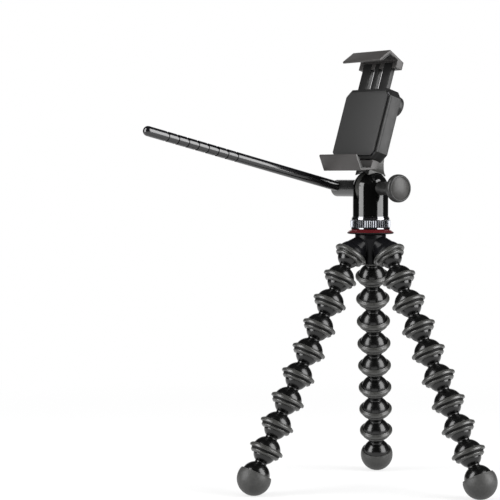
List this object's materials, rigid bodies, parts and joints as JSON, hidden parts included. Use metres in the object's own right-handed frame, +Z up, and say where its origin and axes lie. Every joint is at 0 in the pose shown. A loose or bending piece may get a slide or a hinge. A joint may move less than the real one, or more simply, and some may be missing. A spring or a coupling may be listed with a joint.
{
  "type": "phone tripod",
  "caption": "Flexible-leg tripod with ball-jointed legs, a pan and tilt head with a handle, and a turning phone clamp with a sliding V jaw.",
  "frame": {"origin": "point of the floor under the pan axis, between the feet", "axes": "+X along the tilt axis to the lock knob, -Y to the side that the clamp faces, +Z up"},
  "size_m": [0.1652, 0.2185, 0.2876],
  "materials": {
    "segment_gloss": "glossy",
    "rubber_grey": "matte",
    "hub_black": "satin",
    "ring_red": "anodised satin",
    "ring_silver": "satin",
    "head_gloss": "glossy",
    "arm_black": "satin",
    "knob_face_grey": "matte",
    "jaw_grey": "satin",
    "rod_black": "glossy",
    "steel": "brushed",
    "nylon": "matte"
  },
  "bodies": {
    "stand": {"hub_body": "hub_black", "hub_grips": "rubber_grey", "hub_stud": "steel", "base_ring": "ring_red", "pan_base": "hub_black", "pan_screw": "steel", "pan_washer": "nylon"},
    "lock_ring": {"lock_ring": "ring_silver"},
    "pan": {"pan_housing": "head_gloss"},
    "tilt": {"tilt_arm": "arm_black", "tilt_washers": "nylon", "tilt_bolt": "steel", "handle_socket": "arm_black", "clamp_pivot": "steel", "pivot_washer": "nylon"},
    "tilt_knob": {"tilt_knob": "arm_black", "tilt_knob_cap": "knob_face_grey"},
    "handle": {"handle_rod": "rod_black"},
    "clamp": {"clamp_back": "arm_black", "clamp_front": "arm_black", "clamp_screws": "steel", "back_pad": "rubber_grey", "lower_jaw": "jaw_grey", "lower_jaw_pad": "rubber_grey", "brake_shoe": "rubber_grey"},
    "upper_jaw": {"upper_jaw": "jaw_grey", "upper_jaw_pad": "rubber_grey", "slide_rails": "arm_black", "middle_rail": "arm_black"},
    "jaw_knob": {"lock_knob": "arm_black", "lock_screw": "steel"},
    "left_leg_1": {"left_leg_1": "segment_gloss"},
    "left_leg_2": {"left_leg_2": "segment_gloss"},
    "left_leg_3": {"left_leg_3": "segment_gloss"},
    "left_leg_4": {"left_leg_4": "segment_gloss"},
    "left_leg_5": {"left_leg_5": "segment_gloss"},
    "left_leg_6": {"left_leg_6": "segment_gloss"},
    "left_leg_7": {"left_leg_7": "segment_gloss"},
    "left_leg_8": {"left_leg_8": "segment_gloss"},
    "left_foot": {"left_foot": "segment_gloss"},
    "right_leg_1": {"right_leg_1": "segment_gloss"},
    "right_leg_2": {"right_leg_2": "segment_gloss"},
    "right_leg_3": {"right_leg_3": "segment_gloss"},
    "right_leg_4": {"right_leg_4": "segment_gloss"},
    "right_leg_5": {"right_leg_5": "segment_gloss"},
    "right_leg_6": {"right_leg_6": "segment_gloss"},
    "right_leg_7": {"right_leg_7": "segment_gloss"},
    "right_leg_8": {"right_leg_8": "segment_gloss"},
    "right_foot": {"right_foot": "segment_gloss"},
    "rear_leg_1": {"rear_leg_1": "segment_gloss"},
    "rear_leg_2": {"rear_leg_2": "segment_gloss"},
    "rear_leg_3": {"rear_leg_3": "segment_gloss"},
    "rear_leg_4": {"rear_leg_4": "segment_gloss"},
    "rear_leg_5": {"rear_leg_5": "segment_gloss"},
    "rear_leg_6": {"rear_leg_6": "segment_gloss"},
    "rear_leg_7": {"rear_leg_7": "segment_gloss"},
    "rear_leg_8": {"rear_leg_8": "segment_gloss"},
    "rear_foot": {"rear_foot": "segment_gloss"}
  },
  "joints": [
    {"name": "pan_turn", "type": "hinge", "parent": "stand", "child": "pan", "pos_m": [0, 0, 0.19776], "axis": [0, 0, 1], "continuous": true},
    {"name": "head_tilt", "type": "hinge", "parent": "pan", "child": "tilt", "pos_m": [0, 0, 0.19776], "axis": [1, 0, 0], "range_deg": [-28, 77]},
    {"name": "clamp_turn", "type": "hinge", "parent": "tilt", "child": "clamp", "pos_m": [0, -0.00897, 0.24024], "axis": [0, 0.9563, -0.2924], "range_deg": [0, 90]},
    {"name": "jaw_slide", "type": "slide", "parent": "clamp", "child": "upper_jaw", "axis": [0, 0.2924, 0.9563], "range_m": [-0.014, 0.021]},
    {"name": "jaw_lock_turn", "type": "hinge", "parent": "clamp", "child": "jaw_knob", "pos_m": [0, 0.01681, 0.25275], "axis": [0, 0.9563, -0.2924], "range_deg": [0, 720]},
    {"name": "tilt_lock_turn", "type": "hinge", "parent": "tilt", "child": "tilt_knob", "pos_m": [0.03, 0, 0.19776], "axis": [1, 0, 0], "range_deg": [0, 360]},
    {"name": "lock_ring_turn", "type": "hinge", "parent": "stand", "child": "lock_ring", "pos_m": [0, 0, 0.17096], "axis": [0, 0, 1], "range_deg": [-360, 0]},
    {"name": "handle_turn", "type": "hinge", "parent": "tilt", "child": "handle", "pos_m": [-0.031, 0, 0.19776], "axis": [0, -0.9724, 0.2334], "range_deg": [0, 720]},
    {"name": "left_ball_1", "type": "hinge", "parent": "stand", "child": "left_leg_1", "pos_m": [-0.00259, -0.01549, 0.15266], "axis": [0.9863, -0.165, 0], "range_deg": [-35, 28]},
    {"name": "left_ball_2", "type": "hinge", "parent": "left_leg_1", "child": "left_leg_2", "pos_m": [-0.00383, -0.02291, 0.13694], "axis": [0.1488, 0.8895, -0.4321], "range_deg": [-32, 32]},
    {"name": "left_ball_3", "type": "hinge", "parent": "left_leg_2", "child": "left_leg_3", "pos_m": [-0.00508, -0.03034, 0.12122], "axis": [-0.9863, 0.165, 0], "range_deg": [-32, 32]},
    {"name": "left_ball_4", "type": "hinge", "parent": "left_leg_3", "child": "left_leg_4", "pos_m": [-0.00632, -0.03777, 0.1055], "axis": [-0.1488, -0.8895, 0.4321], "range_deg": [-32, 32]},
    {"name": "left_ball_5", "type": "hinge", "parent": "left_leg_4", "child": "left_leg_5", "pos_m": [-0.00756, -0.0452, 0.08977], "axis": [0.9863, -0.165, 0], "range_deg": [-32, 32]},
    {"name": "left_ball_6", "type": "hinge", "parent": "left_leg_5", "child": "left_leg_6", "pos_m": [-0.00881, -0.05263, 0.07405], "axis": [0.1488, 0.8895, -0.4321], "range_deg": [-32, 32]},
    {"name": "left_ball_7", "type": "hinge", "parent": "left_leg_6", "child": "left_leg_7", "pos_m": [-0.01005, -0.06006, 0.05833], "axis": [-0.9863, 0.165, 0], "range_deg": [-32, 32]},
    {"name": "left_ball_8", "type": "hinge", "parent": "left_leg_7", "child": "left_leg_8", "pos_m": [-0.01129, -0.06749, 0.04261], "axis": [-0.1488, -0.8895, 0.4321], "range_deg": [-32, 32]},
    {"name": "left_ball_9", "type": "hinge", "parent": "left_leg_8", "child": "left_foot", "pos_m": [-0.01254, -0.07492, 0.02689], "axis": [0.9863, -0.165, 0], "range_deg": [-32, 32]},
    {"name": "right_ball_1", "type": "hinge", "parent": "stand", "child": "right_leg_1", "pos_m": [0.01471, 0.0055, 0.15266], "axis": [-0.3502, 0.9367, 0], "range_deg": [-35, 28]},
    {"name": "right_ball_2", "type": "hinge", "parent": "right_leg_1", "child": "right_leg_2", "pos_m": [0.02176, 0.00814, 0.13694], "axis": [-0.8447, -0.3158, -0.4321], "range_deg": [-32, 32]},
    {"name": "right_ball_3", "type": "hinge", "parent": "right_leg_2", "child": "right_leg_3", "pos_m": [0.02882, 0.01077, 0.12122], "axis": [0.3502, -0.9367, 0], "range_deg": [-32, 32]},
    {"name": "right_ball_4", "type": "hinge", "parent": "right_leg_3", "child": "right_leg_4", "pos_m": [0.03587, 0.01341, 0.1055], "axis": [0.8447, 0.3158, 0.4321], "range_deg": [-32, 32]},
    {"name": "right_ball_5", "type": "hinge", "parent": "right_leg_4", "child": "right_leg_5", "pos_m": [0.04293, 0.01605, 0.08977], "axis": [-0.3502, 0.9367, 0], "range_deg": [-32, 32]},
    {"name": "right_ball_6", "type": "hinge", "parent": "right_leg_5", "child": "right_leg_6", "pos_m": [0.04998, 0.01869, 0.07405], "axis": [-0.8447, -0.3158, -0.4321], "range_deg": [-32, 32]},
    {"name": "right_ball_7", "type": "hinge", "parent": "right_leg_6", "child": "right_leg_7", "pos_m": [0.05704, 0.02133, 0.05833], "axis": [0.3502, -0.9367, 0], "range_deg": [-32, 32]},
    {"name": "right_ball_8", "type": "hinge", "parent": "right_leg_7", "child": "right_leg_8", "pos_m": [0.06409, 0.02396, 0.04261], "axis": [0.8447, 0.3158, 0.4321], "range_deg": [-32, 32]},
    {"name": "right_ball_9", "type": "hinge", "parent": "right_leg_8", "child": "right_foot", "pos_m": [0.07115, 0.0266, 0.02689], "axis": [-0.3502, 0.9367, 0], "range_deg": [-32, 32]},
    {"name": "rear_ball_1", "type": "hinge", "parent": "stand", "child": "rear_leg_1", "pos_m": [-0.01212, 0.00999, 0.15266], "axis": [-0.6361, -0.7716, 0], "range_deg": [-35, 28]},
    {"name": "rear_ball_2", "type": "hinge", "parent": "rear_leg_1", "child": "rear_leg_2", "pos_m": [-0.01793, 0.01478, 0.13694], "axis": [0.6959, -0.5736, -0.4321], "range_deg": [-32, 32]},
    {"name": "rear_ball_3", "type": "hinge", "parent": "rear_leg_2", "child": "rear_leg_3", "pos_m": [-0.02374, 0.01957, 0.12122], "axis": [0.6361, 0.7716, 0], "range_deg": [-32, 32]},
    {"name": "rear_ball_4", "type": "hinge", "parent": "rear_leg_3", "child": "rear_leg_4", "pos_m": [-0.02955, 0.02436, 0.1055], "axis": [-0.6959, 0.5736, 0.4321], "range_deg": [-32, 32]},
    {"name": "rear_ball_5", "type": "hinge", "parent": "rear_leg_4", "child": "rear_leg_5", "pos_m": [-0.03536, 0.02915, 0.08977], "axis": [-0.6361, -0.7716, 0], "range_deg": [-32, 32]},
    {"name": "rear_ball_6", "type": "hinge", "parent": "rear_leg_5", "child": "rear_leg_6", "pos_m": [-0.04118, 0.03394, 0.07405], "axis": [0.6959, -0.5736, -0.4321], "range_deg": [-32, 32]},
    {"name": "rear_ball_7", "type": "hinge", "parent": "rear_leg_6", "child": "rear_leg_7", "pos_m": [-0.04699, 0.03873, 0.05833], "axis": [0.6361, 0.7716, 0], "range_deg": [-32, 32]},
    {"name": "rear_ball_8", "type": "hinge", "parent": "rear_leg_7", "child": "rear_leg_8", "pos_m": [-0.0528, 0.04352, 0.04261], "axis": [-0.6959, 0.5736, 0.4321], "range_deg": [-32, 32]},
    {"name": "rear_ball_9", "type": "hinge", "parent": "rear_leg_8", "child": "rear_foot", "pos_m": [-0.05861, 0.04831, 0.02689], "axis": [-0.6361, -0.7716, 0], "range_deg": [-32, 32]}
  ]
}
